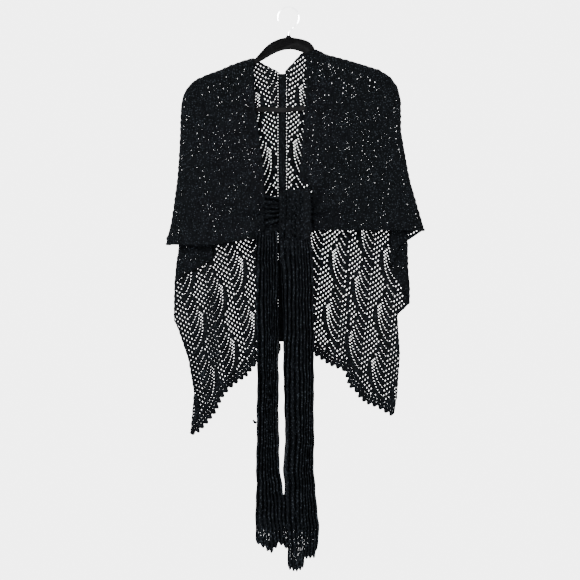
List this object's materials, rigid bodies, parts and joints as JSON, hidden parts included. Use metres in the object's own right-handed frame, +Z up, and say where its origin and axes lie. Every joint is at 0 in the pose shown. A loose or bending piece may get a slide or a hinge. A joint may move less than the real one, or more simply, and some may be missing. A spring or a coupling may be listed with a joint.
{
  "type": "ruana on a clothes hanger",
  "caption": "Open-front knitted lace wrap with long front ends tied in a knot and a diagonal picot-edged back hem, hung on a flocked clothes hanger.",
  "frame": {"origin": "inner top of the hanger's hook, where it rests on a rod", "axes": "+Z up; the garment's front faces -Y; +X to the right of someone looking at the front"},
  "size_m": [0.5314, 0.0632, 1.1612],
  "materials": {
    "lace": "matte knitted yarn with a faint sheen",
    "flock": "matte velvet flocking over plastic",
    "hook": "polished plated steel wire"
  },
  "bodies": {
    "root": {"back_left": "lace", "back_right": "lace", "front_left": "lace", "front_right": "lace", "spine": "lace", "knot_wound": "lace", "knot_crossing": "lace", "tail_left": "lace", "tail_right": "lace", "hem_edging_left": "lace", "hem_edging_right": "lace", "tail_edging_left": "lace", "tail_edging_right": "lace", "hanger_arm_left": "flock", "hanger_arm_right": "flock", "hanger_bar": "flock", "hanger_hook": "hook"}
  },
  "joints": []
}
